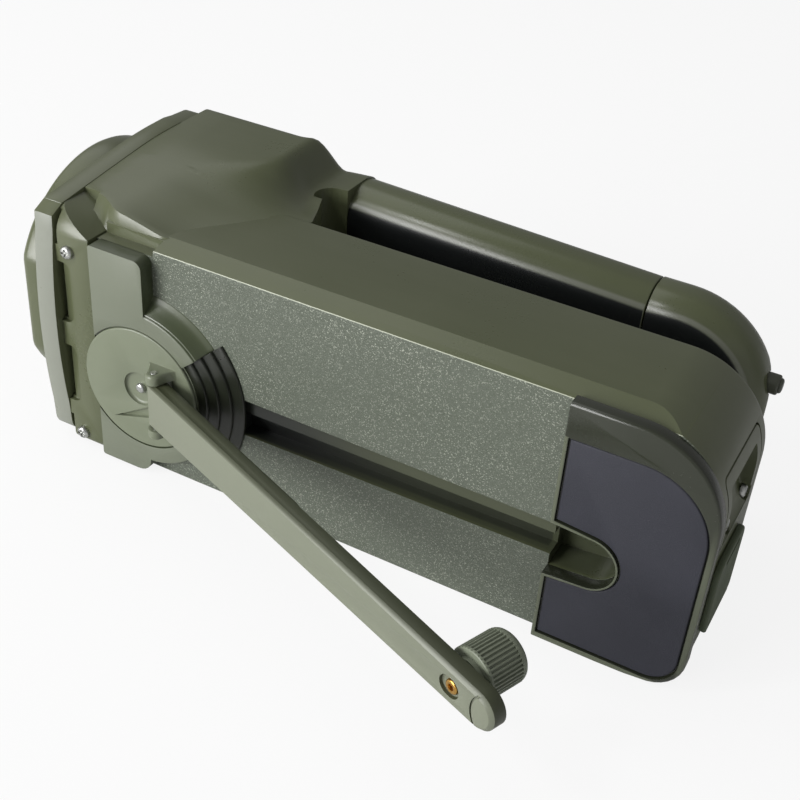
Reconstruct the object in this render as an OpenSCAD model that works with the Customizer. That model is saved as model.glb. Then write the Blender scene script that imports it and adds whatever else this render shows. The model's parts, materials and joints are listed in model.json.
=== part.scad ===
// Hand crank searchlight lying on its side: +X runs to the tail, +Y to the carrying handle, +Z up.
// The origin is on the face that the main bar rests on, under the hub axis. The crank side faces -Y.

/* [Body] */
// Depth of the main bar from the crank panel to the finger gap
bar_depth = 57; // [50:1:66]
// Height of the main bar
bar_h = 115.5; // [110:0.5:126]
// Distance from the hub axis to the tail's rear face
tail_x = 253; // [250:1:275]
// Wall of the moulded shells
wall = 3; // [2.4:0.1:3.4]
// Rounding of the tail's upper corner
tail_r = 36; // [32:1:50]
// Rounding of the tail's lower corner
tail_low_r = 16; // [10:1:20]

/* [Handle] */
// Width of the finger gap between bar and handle
finger_gap = 38.5; // [34:0.5:46]
// Thickness of the handle bar
handle_t = 29; // [24:1:34]
// Height of the handle's top over the rest face
handle_top = 107; // [100:1:110]
// Height of the handle bar
handle_h = 50; // [40:1:56]
// Where the handle bar meets the tail loop
handle_end = 186; // [176:1:194]

/* [Head] */
// Height of the lens axis over the rest face
lens_z = 65; // [65:1:68]
// Distance of the lens axis behind the main bar's middle
lens_y = 21.5; // [20:0.5:24]
// Half width of the flange
flange_half_w = 59.5; // [58:0.5:62]
// Half height of the flange
flange_half_h = 65; // [64:0.5:65]
// Thickness of the flange
flange_t = 9.5; // [8:0.5:12]
// Outer radius of the lens ring
ring_r = 61; // [58:0.5:62]
// How far the lens ring stands out of the flange
ring_out = 14; // [12:1:18]
// Radius of the lens
lens_r = 50; // [47:0.5:51]
// Depth of the reflector
reflector_d = 26; // [22:1:27]

/* [Crank] */
// Height of the hub axis over the rest face
hub_z = 46.5; // [46:0.5:49]
// Distance from the hub axis to the knob axis
crank_l = 208; // [204:0.5:210]
// Fold of the crank arm out from its stowed place
arm_fold = 22; // [20:0.5:40]
// Radius of the hub disc
hub_r = 29.5; // [28:0.5:30]
// Distance from the hub axis to the fold pin
fold_x = 13; // [12:0.2:14]
// Width of the arm at its root
arm_root_w = 23; // [21:0.2:25]
// Width of the arm at its tip
arm_tip_w = 16; // [14:0.5:18]
// Thickness of the arm without its stiffening layer
arm_t = 6.7; // [5.5:0.1:7]
// Radius of the knob
knob_r = 10.5; // [9:0.5:11]
// Length of the knob
knob_l = 18; // [14:0.5:18.5]
// Number of flutes round the knob
knob_flutes = 40; // [24:1:44]

/* [Crank side] */
// Height of the gear cover over the panel
cover_out = 7.5; // [7:0.1:7.7]
// Radius of the gear cover's bulge round the hub
bulge_r = 36; // [34:0.5:38]
// Height of the tail's pad block over the panel
pad_out = 6.3; // [5:0.1:6.5]
// Where the pad block starts
pad_x = 192; // [190:1:194]
// Width of the stow groove near the hub
groove_w = 18; // [16:0.5:20]
// Width of the stow groove at the knob pocket
groove_end_w = 15; // [13:0.5:17]
// Depth of the stow groove
groove_d = 8; // [6:0.5:9]
// Depth of the knob pocket under the panel
pocket_d = 14.5; // [14:0.5:16]
// Radius of the knob pocket's closed end
pocket_r = 11.6; // [11.4:0.1:12.4]

/* [Gears] */
// Tooth size of both gear pairs
tooth_module = 1; // [0.9:0.05:1]
// Teeth of the crank gear
crank_teeth = 44; // [40:2:44]
// Teeth of the idler's small gear
small_teeth = 16; // [14:1:16]
// Teeth of the idler's large gear
large_teeth = 40; // [36:2:40]
// Teeth of the generator pinion
pinion_teeth = 16; // [14:1:16]
// Thickness of each gear
gear_t = 5; // [4:0.5:5]

/* [Fits] */
// Radial clearance of a running fit
run_fit = 0.05; // [0.03:0.01:0.08]
// Gap between pieces that move past each other
move_gap = 0.5; // [0.4:0.05:0.8]
// Gap round a piece that is set into another
set_gap = 0.1; // [0.05:0.05:0.2]

/* [Hidden] */
$fn = 96;
eps = 0.02;

olive = [0.35, 0.38, 0.29];
olive_dark = [0.27, 0.30, 0.22];
slate = [0.27, 0.27, 0.31];
black = [0.12, 0.12, 0.12];
steel = [0.72, 0.72, 0.72];
brass = [0.72, 0.55, 0.28];
white = [0.9, 0.9, 0.88];
green = [0.10, 0.34, 0.20];

near_y = -bar_depth / 2;
far_y = bar_depth / 2;
front_x = -24;
back_t = 3;
inner_y = near_y + wall;
back_y = far_y - back_t;
handle_y0 = far_y + finger_gap;
handle_y1 = handle_y0 + handle_t;
handle_low = handle_top - handle_h;
head_far_y = lens_y + flange_half_w;
collar_x = front_x - 18.5;
flange_x = collar_x - flange_t;
ring_x = flange_x - ring_out;
head_back_x = 30;
head_low = 2;
head_top = lens_z + flange_half_h - 2;
head_r = 14;
head_near_y = near_y - 6;
core_r = 23;
core_end = 2;

cover_y = near_y - cover_out;
hub_face_y = cover_y - 0.2;
hub_floor_y = near_y - 2;
fold_y = near_y - 13.5;
pin_r = 1.5;
arm_in = 2.6;
root_past = 3;
fold_clear_r = 7.5;
arm_l = crank_l - fold_x;
tip_x = arm_l + 12.5;
layer_t = 1.3;
layer_l = 0.56 * arm_l;
ear_r = 4.5;
hub_rim_y = near_y - 6.7;
hub_boss_r = 23;
ear_z = arm_root_w / 2 + move_gap;
ear_t = 5;
shaft_r = 6;
bushing_r = 9;
axle_r = 2.5;
collar_t = 3;
knob_y = arm_t - arm_in;

tooth_gap = 0.3;
crank_gear_r = crank_teeth * tooth_module / 2;
small_r = small_teeth * tooth_module / 2;
large_r = large_teeth * tooth_module / 2;
pinion_r = pinion_teeth * tooth_module / 2;
idler_x = crank_gear_r + small_r + tooth_gap;
rotor_x = idler_x + large_r + pinion_r + tooth_gap;
first_y = inner_y + 2.5;
second_y = first_y + gear_t + 1.5;
plate_y = second_y + gear_t + 1.2;
plate_t = 2;
idler_r = 2;
can_r = 21;
can_y = plate_y + plate_t;
can_l = 24;
rotor_r = 15;
rotor_shaft_r = 2;

pocket_x = crank_l + 0.8;
pad_y = near_y - pad_out;
pad_end = tail_x + 1;
cell_r = 10.5;
cell_l = 70;
cell_x = 98;
cell_y = 6;
cell_pitch = 2 * cell_r + 1.5;
screw_r = 1.5;
post_z = [18, 77];
head_screw_z = [8, 102];
head_screw_x = -35.5;
cover_screw_x = -4;
cover_screw_z = [15, 100];
door_x = tail_x - 35;
door_low = 64;
door_high = 96;
door_y0 = -16;
door_y1 = 20;
flap_y0 = -21;
flap_y1 = 13;
flap_z0 = 22;
flap_z1 = 56;
flap_t = 2.5;
button_y = (handle_y0 + handle_y1) / 2;
button_z = 76;
button_r = 5;
loop_x = tail_x - 9.5;
loop_r = 44;

// Rounded rectangle between two corners, with a radius for each corner in turn from low left
module round_rect(x0, y0, x1, y1, r) {
    difference() {
        translate([x0, y0]) square([x1 - x0, y1 - y0]);
        translate([x0, y0]) square(r[0]);
        translate([x1 - r[1], y0]) square(r[1]);
        translate([x1 - r[2], y1 - r[2]]) square(r[2]);
        translate([x0, y1 - r[3]]) square(r[3]);
    }
    intersection() {
        translate([x0, y0]) square([x1 - x0, y1 - y0]);
        union() {
            translate([x0 + r[0], y0 + r[0]]) circle(r[0]);
            translate([x1 - r[1], y0 + r[1]]) circle(r[1]);
            translate([x1 - r[2], y1 - r[2]]) circle(r[2]);
            translate([x0 + r[3], y1 - r[3]]) circle(r[3]);
        }
    }
}

// Extrudes a drawing whose axes are Y and Z along X
module along_x(x0, x1) translate([x0, 0, 0]) rotate([90, 0, 90]) linear_extrude(x1 - x0) children();

// Extrudes a drawing whose axes are X and Z along Y
module along_y(y0, y1) translate([0, y1, 0]) rotate([90, 0, 0]) linear_extrude(y1 - y0) children();

// Cylinder along Y between two places
module rod_y(x, z, y0, y1, r) translate([x, y0, z]) rotate([-90, 0, 0]) cylinder(h = y1 - y0, r = r);

// Cylinder along X between two places
module rod_x(y, z, x0, x1, r) translate([x0, y, z]) rotate([0, 90, 0]) cylinder(h = x1 - x0, r = r);

// Block between two corners
module block(a, b) translate(a) cube(b - a);

// Screw with its seat at the given place; a turn of -90 points it along +Y, a turn of 90 along -Y
module screw_y(x, y, z, l, turn) translate([x, y, z]) rotate([turn, 0, 0]) {
    cylinder(h = l, r = screw_r);
    difference() {
        translate([0, 0, -2.2]) cylinder(h = 2.2, r = 3);
        translate([-0.5, -3.5, -2.3]) cube([1, 7, 1]);
    }
}

// Main bar seen from the crank side, drawn inwards by an inset
module bar_side(inset) round_rect(front_x, inset, tail_x - inset, bar_h - inset, [0.01, tail_low_r - inset,
                                  tail_r - inset, 0.01]);

// Main bar across its length, drawn inwards by an inset
module bar_section(inset)
    round_rect(near_y + inset, inset, far_y + 20, bar_h - inset, [12 - inset, 0.01, 0.01, 8 - inset]);

module bar_solid(inset, y1) intersection() {
    along_y(near_y + inset, y1) bar_side(inset);
    along_x(front_x - 1, tail_x + 1) bar_section(inset);
}

// Stow groove seen from the crank side, wider by a margin
module groove_side(margin) polygon([
    [48 - margin, hub_z - groove_w / 2 - margin], [pocket_x, hub_z - groove_end_w / 2 - margin],
    [pocket_x, hub_z + groove_end_w / 2 + margin], [48 - margin, hub_z + groove_w / 2 + margin]]);

// Knob pocket seen from the crank side, wider by a margin
module pocket_side(margin) translate([0, hub_z]) {
    translate([pocket_x, 0]) circle(pocket_r + margin);
    polygon([[pad_x - 4 - margin, -13 - margin], [pocket_x, -pocket_r - margin],
             [pocket_x, pocket_r + margin], [pad_x - 4 - margin, 13 + margin]]);
}

// Flange outline with four arched sides and clipped corners, drawn inwards by an inset
module flange_outline(inset) translate([lens_y, lens_z]) intersection() {
    translate([flange_half_w - 260 - inset, 0]) circle(260);
    translate([260 - flange_half_w + inset, 0]) circle(260);
    translate([0, flange_half_h - 260 - inset]) circle(260);
    translate([0, 260 - flange_half_h + inset]) circle(260);
    circle(77 - inset);
}

// Head across its length, drawn inwards by an inset
module head_outline(y0, inset)
    round_rect(y0 + inset, head_low + inset, head_far_y - 1 - inset, head_top - inset,
               [wall + 1 - inset, head_r - inset, head_r - inset, wall + 1 - inset]);

// Tail loop seen from the crank side, drawn inwards by an inset
module loop_side(inset) difference() {
    round_rect(handle_end - 40, inset, loop_x - inset, handle_top - inset,
               [0.01, 16 - inset, loop_r - inset, 0.01]);
    round_rect(handle_end - 60, -1, loop_x - handle_t + inset, handle_low + inset, [0.01, 0.01, 22, 0.01]);
}

// Gear with straight-sided teeth; the caller turns it so that it meshes
module toothed(teeth, thick) {
    pitch = teeth * tooth_module / 2;
    root = pitch - 1.2 * tooth_module;
    outer = pitch + 0.8 * tooth_module;
    linear_extrude(thick) {
        circle(root);
        for (k = [0:teeth - 1]) rotate(360 * k / teeth) polygon([[root - 0.5, -0.85 * tooth_module],
            [root, -0.85 * tooth_module], [outer, -0.25 * tooth_module], [outer, 0.25 * tooth_module],
            [root, 0.85 * tooth_module], [root - 0.5, 0.85 * tooth_module]]);
    }
}

module gear_at(x, y, teeth, turn)
    translate([x, y, hub_z]) rotate([-90, 0, 0]) rotate(turn) toothed(teeth, gear_t);

module arm_pose() translate([fold_x, fold_y, hub_z]) rotate([0, 0, -arm_fold]) children();
module knob_pose() arm_pose() translate([arm_l, knob_y, 0]) rotate([-90, 0, 0]) children();

// Space round the lamp's heat sink, kept clear of the walls
module core_space() rod_x(lens_y, lens_z, collar_x - 1, core_end, core_r);

module door_side(gap) intersection() {
    bar_side(0);
    translate([door_x - gap, door_low - gap]) square([80, door_high - door_low + 2 * gap]);
}

module body_shell() color(olive) difference() {
    union() {
        difference() {
            bar_solid(0, back_y - set_gap);
            bar_solid(wall, far_y);
        }
        intersection() {
            union() {
                rod_y(idler_x, hub_z, near_y + 0.5, inner_y + 1.5, 5);
                for (x = [-16, 82], z = post_z) rod_y(x, z, near_y + 0.5, plate_y, 4);
            }
            bar_solid(0.2, far_y);
        }
    }
    block([front_x - 1, near_y + wall, 3], [front_x + 2, far_y + 1, bar_h - wall]);
    along_y(near_y - 1, inner_y + 1) {
        groove_side(2 + set_gap);
        pocket_side(2 + set_gap);
    }
    rod_y(0, hub_z, near_y - 1, inner_y + 1, bushing_r);
    for (z = cover_screw_z) rod_y(cover_screw_x, z, near_y - 1, inner_y + 1, screw_r);
    rod_y(idler_x, hub_z, inner_y - 1, inner_y + 2, idler_r);
    for (x = [-16, 82], z = post_z) rod_y(x, z, plate_y - 8, plate_y + 1, screw_r);
    along_y(door_y0 - set_gap, door_y1 + set_gap) difference() {
        translate([door_x + 8, door_low - set_gap]) square([60, door_high - door_low + 2 * set_gap]);
        translate([0, -100]) square([tail_x - 12, 400]);
    }
    block([tail_x - wall - 1, flap_y0 + 8, flap_z0 + 6], [tail_x + 1, flap_y1 - 8, flap_z1 - 6]);
    core_space();
}

// Trough set into the panel: the stow groove and the knob pocket at its end
module stow_tray() color(olive) difference() {
    union() {
        along_y(near_y, near_y + groove_d + 2) groove_side(2);
        along_y(near_y, near_y + pocket_d + 2) pocket_side(2);
    }
    along_y(near_y - 1, near_y + groove_d) groove_side(0);
    along_y(near_y - 1, near_y + pocket_d) pocket_side(0);
}

module body_back() color(olive) difference() {
    along_y(back_y, far_y) bar_side(0);
    along_y(back_y - 1, far_y + 1) translate([front_x - 1, 0]) square([1.5, bar_h]);
    core_space();
    for (z = [20, 96]) rod_y(14, z, back_y - 1, far_y + 1, screw_r);
}

// Part of the head that passes over and behind the main bar
module head_behind(over) intersection() {
    head_outline(head_near_y, 0);
    union() {
        translate([far_y + set_gap, 0]) square([200, 200]);
        if (over) translate([-100, bar_h + set_gap]) square([200, 200]);
    }
}

module head_shell() color(olive) difference() {
    union() {
        along_x(collar_x, front_x - set_gap) head_outline(head_near_y, 0);
        along_x(front_x - set_gap - 0.5, 5) head_behind(true);
        along_x(4.5, head_back_x) head_behind(false);
    }
    along_x(collar_x - 1, front_x - 2.5) head_outline(head_near_y, wall);
    along_x(front_x - 3, head_back_x - wall) intersection() {
        head_outline(head_near_y, wall);
        translate([far_y + set_gap + wall, 0]) square([200, 200]);
    }
    core_space();
    for (z = head_screw_z) rod_y(head_screw_x, z, head_near_y - 1, near_y, screw_r);
}

module front_flange() color(olive) difference() {
    along_x(flange_x, collar_x) flange_outline(0);
    rod_x(lens_y, lens_z, flange_x - 1, collar_x + 1, lens_r + 2);
}

module lens_ring() color(olive_dark) difference() {
    intersection() {
        rod_x(lens_y, lens_z, ring_x, flange_x, ring_r);
        block([ring_x - 1, near_y - 5, 0], [flange_x + 1, 200, 200]);
    }
    rod_x(lens_y, lens_z, ring_x - 1, flange_x + 1, lens_r - 2);
    rod_x(lens_y, lens_z, flange_x - 7, flange_x + 1, lens_r + set_gap);
}

module lens() color(white, 0.4) rod_x(lens_y, lens_z, flange_x - 7, flange_x - 3, lens_r);

module lens_gasket() color(black) difference() {
    rod_x(lens_y, lens_z, flange_x - 3, flange_x, lens_r);
    rod_x(lens_y, lens_z, flange_x - 4, flange_x + 1, lens_r - 3);
}

module reflector() color(white) translate([flange_x, lens_y, lens_z]) rotate([0, 90, 0])
    rotate_extrude() polygon(
    concat([[lens_r + 1.9, 0], [lens_r - 3, 0]],
           [for (k = [1:8]) [8 + (lens_r - 11) * sqrt(1 - k / 8), reflector_d * k / 8]],
           [for (k = [8:-1:1]) [9.6 + (lens_r - 11) * sqrt(1 - k / 8), reflector_d * k / 8]],
           [[lens_r + 1.9, 1.5]]));

module lamp_module() color(green) {
    rod_x(lens_y, lens_z, flange_x + reflector_d, flange_x + reflector_d + 1.6, 14);
    rod_x(lens_y, lens_z, flange_x + reflector_d - 2, flange_x + reflector_d + 1, 5);
}

module heat_sink() color(steel) difference() {
    rod_x(lens_y, lens_z, flange_x + reflector_d + 1.6, core_end - 1, core_r - 1.5);
    for (x = [-18, -13, -8, -3]) translate([x, lens_y, lens_z]) rotate([0, 90, 0]) difference() {
        cylinder(h = 2.5, r = core_r);
        cylinder(h = 2.5, r = 9);
    }
}

module head_screws() color(steel) for (z = head_screw_z) screw_y(head_screw_x, head_near_y, z, 5.5, -90);

module gear_cover() color(olive) difference() {
    intersection() {
        union() {
            along_y(cover_y, near_y) {
                round_rect(front_x + 0.3, 2, 9, bar_h - 4.5, [1, 6, 6, 1]);
                translate([0, hub_z]) circle(bulge_r);
            }
            rod_y(0, hub_z, near_y - 4.5, near_y, 40);
            rod_y(0, hub_z, near_y - 2, near_y, 45);
        }
        block([front_x + 0.3, near_y - 40, 2], [100, near_y, bar_h - 4]);
    }
    rod_y(0, hub_z, cover_y - 1, hub_rim_y + move_gap, hub_r + move_gap);
    rod_y(0, hub_z, cover_y - 1, hub_floor_y, hub_boss_r + move_gap);
    rod_y(0, hub_z, cover_y, near_y + 1, bushing_r);
    for (z = cover_screw_z) rod_y(cover_screw_x, z, cover_y + 2, near_y + 1, screw_r);
}

module cover_screws() color(steel) for (z = cover_screw_z)
    screw_y(cover_screw_x, inner_y, z, wall + cover_out - 2.2, 90);

module hub_bushing() color(brass) difference() {
    rod_y(0, hub_z, hub_floor_y, inner_y + 1, bushing_r);
    rod_y(0, hub_z, hub_floor_y - 1, inner_y + 2, shaft_r + run_fit);
}

module gear_plate() color(steel) difference() {
    along_y(plate_y, can_y) round_rect(-21, 13, 88, 82, [5, 5, 5, 5]);
    rod_y(0, hub_z, plate_y - 1, can_y + 1, shaft_r + run_fit);
    rod_y(idler_x, hub_z, plate_y - 1, can_y + 1, idler_r);
    rod_y(rotor_x, hub_z, plate_y - 1, can_y + 1, 7);
    for (x = [-16, 82], z = post_z) rod_y(x, z, plate_y - 1, can_y + 1, screw_r);
}

module idler_axle() color(steel) rod_y(idler_x, hub_z, inner_y - 1, can_y, idler_r);

module generator_can() color(steel) difference() {
    rod_y(rotor_x, hub_z, can_y, can_y + can_l, can_r);
    rod_y(rotor_x, hub_z, can_y + 1.5, can_y + can_l - 1.5, rotor_r + 1);
    rod_y(rotor_x, hub_z, can_y - 1, can_y + 2, 7);
    rod_y(rotor_x, hub_z, can_y, can_y + can_l + 1, 4);
}

module generator_bearing() color(brass) difference() {
    union() {
        rod_y(rotor_x, hub_z, plate_y, can_y + 1.5, 7);
        rod_y(rotor_x, hub_z, can_y + can_l - 1.5, can_y + can_l, 4);
    }
    rod_y(rotor_x, hub_z, plate_y - 1, can_y + can_l + 1, rotor_shaft_r + run_fit);
}

module battery_cells() color(green) for (k = [-1:1]) {
    rod_x(cell_y, bar_h / 2 + k * cell_pitch, cell_x, cell_x + cell_l, cell_r);
    rod_x(cell_y, bar_h / 2 + k * cell_pitch, cell_x + cell_l, cell_x + cell_l + 1.5, 3.5);
}

module battery_cradle() color(black) difference() {
    block([cell_x - 3, cell_y, bar_h / 2 - 1.5 * cell_pitch - 2],
          [cell_x + cell_l + 4, back_y, bar_h / 2 + 1.5 * cell_pitch + 2]);
    for (k = [-1:1])
        rod_x(cell_y, bar_h / 2 + k * cell_pitch, cell_x, cell_x + cell_l + 1.5, cell_r + set_gap);
}

module control_board() color(green) {
    block([180, back_y - 6, 24], [222, back_y - 4.4, 92]);
    for (z = [30, 84]) rod_y(188, z, back_y - 5, back_y, 2.5);
    block([196, back_y - 12, 40], [210, back_y - 5, 54]);
    block([190, back_y - 9, 62], [214, back_y - 5, 78]);
}

module pad_block() color(olive) difference() {
    intersection() {
        along_y(pad_y, near_y) round_rect(pad_x, 0, pad_end, bar_h - 1, [0.01, tail_low_r, tail_r, 0.01]);
        along_x(pad_x - 1, pad_end + 1) round_rect(pad_y, 0, near_y + 30, bar_h + 4, [5, 0.01, 0.01, 14]);
    }
    along_y(pad_y - 1, near_y + 1) pocket_side(0);
    along_y(pad_y - 1, pad_y + 2) pad_side(0);
}

// Rubber pad seen from the crank side, drawn inwards by an inset
module pad_side(inset) difference() {
    round_rect(pad_x + 1.5 + inset, 6 + inset, pad_end - 2.5 - inset, 99.5 - inset,
               [2, 13 - inset, 29 - inset, 2]);
    pocket_side(2 + inset);
}

module rubber_pad() color(slate) along_y(pad_y + 0.6, pad_y + 2) pad_side(set_gap);

module battery_door() color(olive) difference() {
    along_y(door_y0, door_y1) difference() {
        intersection() {
            bar_side(0);
            translate([door_x + 8 + set_gap, door_low]) square([80, door_high - door_low]);
        }
        intersection() {
            bar_side(wall);
            square([400, 400]);
        }
        translate([0, -100]) square([tail_x - 12 + set_gap, 400]);
    }
    for (y = [door_y0 + 6, door_y1 - 6]) rod_x(y, door_low + 7, tail_x - 10, tail_x + 5, screw_r);
    for (y = [door_y0 + 6, door_y1 - 6]) rod_x(y, door_low + 7, tail_x - 1.2, tail_x + 5, 3.2);
}

module door_screws() color(steel) for (y = [door_y0 + 6, door_y1 - 6]) {
    rod_x(y, door_low + 7, tail_x - 7, tail_x - 1.2, screw_r);
    rod_x(y, door_low + 7, tail_x - 1.2, tail_x + 0.6, 3);
}

module charge_socket() color(black) difference() {
    block([tail_x - 16, flap_y0 + 8 + set_gap, flap_z0 + 6 + set_gap],
          [tail_x - 0.6, flap_y1 - 8 - set_gap, flap_z1 - 6 - set_gap]);
    block([tail_x - 10, flap_y0 + 10, flap_z0 + 8], [tail_x + 1, flap_y1 - 10, flap_z1 - 8]);
}

module handle_bar() color(olive) difference() {
    union() {
        along_x(head_back_x, handle_end)
            round_rect(handle_y0, handle_low, handle_y1, handle_top, [13, 13, 13, 13]);
        along_x(head_back_x, head_back_x + 8)
            round_rect(handle_y0 - 9, handle_low - 8, handle_y1, handle_top + 8, [14, 14, 14, 14]);
    }
    along_x(head_back_x + 8, handle_end + 1)
        round_rect(handle_y0 + wall, handle_low + wall, handle_y1 - wall, handle_top - wall,
                   [10, 10, 10, 10]);
}

module tail_loop() color(olive) difference() {
    union() {
        intersection() {
            along_y(handle_y0, handle_y1) loop_side(0);
            block([handle_end + set_gap, 0, -1], [loop_x + 1, handle_y1, handle_top]);
            along_x(handle_end, loop_x + 1) round_rect(handle_y0, -20, handle_y1, handle_top, [1, 1, 13, 13]);
        }
        along_y(far_y + set_gap, handle_y0 + 2) round_rect(tail_x - 24, 0, loop_x, handle_low, [3, 6, 6, 3]);
    }
    intersection() {
        along_y(handle_y0 + wall, handle_y1 - wall) loop_side(wall);
        block([handle_end - 1, 0, wall], [loop_x + 1, handle_y1, handle_top]);
        along_x(handle_end - 1, loop_x + 1)
            round_rect(handle_y0 + wall, -20, handle_y1 - wall, handle_top - wall, [1, 1, 10, 10]);
    }
    rod_x(button_y, button_z, loop_x - 20, loop_x + 1, button_r + move_gap);
}

module switch_body() color(black) {
    rod_x(button_y, button_z, loop_x - 20, loop_x - 9, 4);
    block([loop_x - 28, button_y - 7, button_z - 7], [loop_x - 18, button_y + 7, button_z + 7]);
    block([loop_x - 27, handle_y0 + wall, button_z - 5], [loop_x - 19, handle_y1 - wall, button_z + 5]);
}

module crank_hub() color(olive_dark) difference() {
    union() {
        rod_y(0, hub_z, hub_face_y, hub_rim_y, hub_r);
        rod_y(0, hub_z, hub_rim_y - 1, hub_floor_y - move_gap, hub_boss_r);
        rod_y(0, hub_z, hub_floor_y - 1, can_y + 2, shaft_r);
        for (s = [-1, 1]) translate([0, 0, hub_z + s * (ear_z + ear_t / 2)]) {
            translate([fold_x, fold_y, 0]) cylinder(h = ear_t, r = ear_r, center = true);
            translate([fold_x - ear_r, fold_y, -ear_t / 2]) cube([2 * ear_r, 7, ear_t]);
        }
    }
    translate([fold_x, fold_y, hub_z]) cylinder(h = 2 * ear_z, r = fold_clear_r, center = true);
    translate([fold_x, fold_y, hub_z]) cylinder(h = 60, r = pin_r, center = true);
    rod_y(0, hub_z, hub_face_y - 1, hub_face_y + 9, screw_r);
}

module crank_gear() color(brass) difference() {
    gear_at(0, first_y, crank_teeth, 0);
    rod_y(0, hub_z, first_y - 1, first_y + gear_t + 1, shaft_r);
}

module hub_screw() color(steel) translate([0, 0, hub_z]) rotate([-90, 0, 0]) translate([0, 0, hub_face_y]) {
    cylinder(h = 4, r = screw_r);
    translate([0, 0, -1.8]) cylinder(h = 1.8, r = 3);
}

module fold_pin() color(steel) translate([fold_x, fold_y, hub_z])
    cylinder(h = 2 * (ear_z + ear_t), r = pin_r, center = true);

// Arm seen square to its face, from the fold pin outwards
module arm_side(inset, l) {
    polygon([[-root_past, -arm_root_w / 2 + inset], [l, -arm_tip_w / 2 + inset], [l, arm_tip_w / 2 - inset],
             [-root_past, arm_root_w / 2 - inset]]);
    translate([l, 0]) circle(arm_tip_w / 2 - inset);
}

module crank_arm() color(olive) arm_pose() difference() {
    union() {
        along_y(-arm_in, arm_t - arm_in) arm_side(0, tip_x);
        along_y(arm_t - arm_in - eps, arm_t - arm_in + layer_t) arm_side(2.5, layer_l);
        translate([arm_l, knob_y - eps, 0]) rotate([-90, 0, 0]) cylinder(h = 1, r = 6);
        translate([tip_x + 3, knob_y - eps, 0]) rotate([-90, 0, 0]) cylinder(h = 2.2, r = 2.5);
    }
    cylinder(h = 60, r = pin_r + run_fit, center = true);
    translate([arm_l, -arm_in - 1, 0]) rotate([-90, 0, 0]) cylinder(h = 20, r = axle_r);
    along_y(-arm_in - 1, -arm_in + 1.6) translate([arm_l, 0]) {
        circle(6);
        translate([-8, -6]) square([8, 12]);
        translate([-8, 0]) circle(6);
    }
}

module knob_screw() color(brass) knob_pose() difference() {
    union() {
        translate([0, 0, -arm_t + 1.6]) cylinder(h = knob_l + 15, r = axle_r);
        translate([0, 0, -arm_t + 0.2]) cylinder(h = 1.4, r = 4.2);
        translate([0, 0, collar_t + knob_l - 2]) cylinder(h = 1.6, r = 4.5);
    }
    translate([0, 0, -arm_t]) cylinder(h = 6, r = 1.4);
    translate([0, 0, collar_t + knob_l - 0.4]) cylinder(h = 40, r = 20);
}

module crank_knob() color(olive_dark) knob_pose() difference() {
    rotate_extrude() difference() {
        union() {
            translate([0, collar_t]) square([knob_r, knob_l - 3]);
            translate([0, collar_t]) square([knob_r - 3, knob_l]);
            translate([knob_r - 3, collar_t + knob_l - 3]) circle(3);
            translate([0, 1.3]) square([7, collar_t]);
        }
        square([axle_r + run_fit, 60]);
        translate([0, collar_t + knob_l - 2 - move_gap]) square([4.5 + move_gap, 10]);
        translate([-20, 0]) square([20, 60]);
    }
    for (k = [0:knob_flutes - 1]) rotate(360 * k / knob_flutes) translate([knob_r + 0.25, 0, collar_t + 1.5])
        cylinder(h = knob_l - 5, r = 0.6, $fn = 16);
}

module idler_gear() color(brass) difference() {
    union() {
        gear_at(idler_x, first_y, small_teeth, 180 / small_teeth);
        gear_at(idler_x, second_y, large_teeth, 0);
        rod_y(idler_x, hub_z, first_y, second_y + gear_t, 5);
    }
    rod_y(idler_x, hub_z, first_y - 1, second_y + gear_t + 1, idler_r + run_fit);
}

module generator_rotor() color(steel) {
    rod_y(rotor_x, hub_z, second_y - 1, can_y + can_l, rotor_shaft_r);
    rod_y(rotor_x, hub_z, can_y + 3, can_y + can_l - 3, rotor_r);
    gear_at(rotor_x, second_y, pinion_teeth, 180 / pinion_teeth);
}

module power_button() color(olive_dark) {
    rod_x(button_y, button_z, loop_x - 6, loop_x + 2, button_r);
    rod_x(button_y, button_z, loop_x + 2 - eps, loop_x + 3.2, button_r - 1.2);
}

module port_flap() color(olive_dark) difference() {
    union() {
        along_x(tail_x + 0.3, tail_x + 0.3 + flap_t)
            round_rect(flap_y0, flap_z0, flap_y1, flap_z1, [3, 3, 5, 5]);
        rod_y(tail_x + 0.3 + flap_t / 2, flap_z0, flap_y0 + 3, flap_y1 - 3, flap_t / 2);
    }
    block([tail_x + 1.6, flap_y0 + 8, flap_z1 - 4], [tail_x + 5, flap_y1 - 8, flap_z1 - 2]);
}

body_shell();
stow_tray();
body_back();
head_shell();
front_flange();
lens_ring();
lens();
lens_gasket();
reflector();
lamp_module();
heat_sink();
head_screws();
gear_cover();
cover_screws();
hub_bushing();
gear_plate();
idler_axle();
generator_can();
generator_bearing();
battery_cells();
battery_cradle();
control_board();
pad_block();
rubber_pad();
battery_door();
door_screws();
charge_socket();
handle_bar();
tail_loop();
switch_body();
crank_hub();
crank_gear();
hub_screw();
fold_pin();
crank_arm();
knob_screw();
crank_knob();
idler_gear();
generator_rotor();
power_button();
port_flap();
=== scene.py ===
import bpy, json, math
from mathutils import Matrix, Vector


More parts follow.
